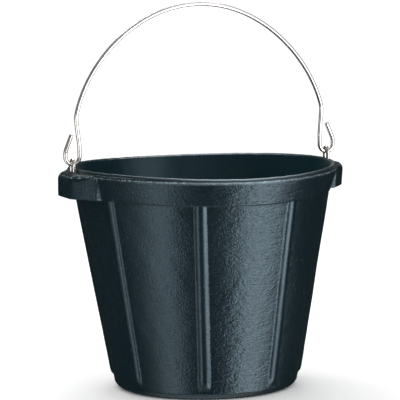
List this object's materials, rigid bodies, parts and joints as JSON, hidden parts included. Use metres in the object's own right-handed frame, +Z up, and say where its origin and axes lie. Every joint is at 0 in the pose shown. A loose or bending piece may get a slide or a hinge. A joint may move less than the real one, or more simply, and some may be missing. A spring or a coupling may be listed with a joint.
{
  "type": "feed bucket",
  "caption": "Tapered ribbed rubber bucket with a thick rim, an ear on each side carrying a wire eye, and a swinging wire bail.",
  "frame": {"origin": "centre of the base, on the surface the bucket stands on", "axes": "+Z up; the two ears and the bail lie along X; +Y across the bail"},
  "size_m": [0.2884, 0.2654, 0.377],
  "materials": {
    "black_rubber": "satin, moulded, lightly scuffed",
    "galvanised_wire": "bright plated, smooth"
  },
  "bodies": {
    "bucket": {"bucket_shell": "black_rubber", "left_eye": "galvanised_wire", "right_eye": "galvanised_wire"},
    "bail": {"bail_handle": "galvanised_wire"}
  },
  "joints": [
    {"name": "bail_swing", "type": "hinge", "parent": "bucket", "child": "bail", "pos_m": [0, 0, 0.2246], "axis": [1, 0, 0], "range_deg": [-95, 95]}
  ]
}
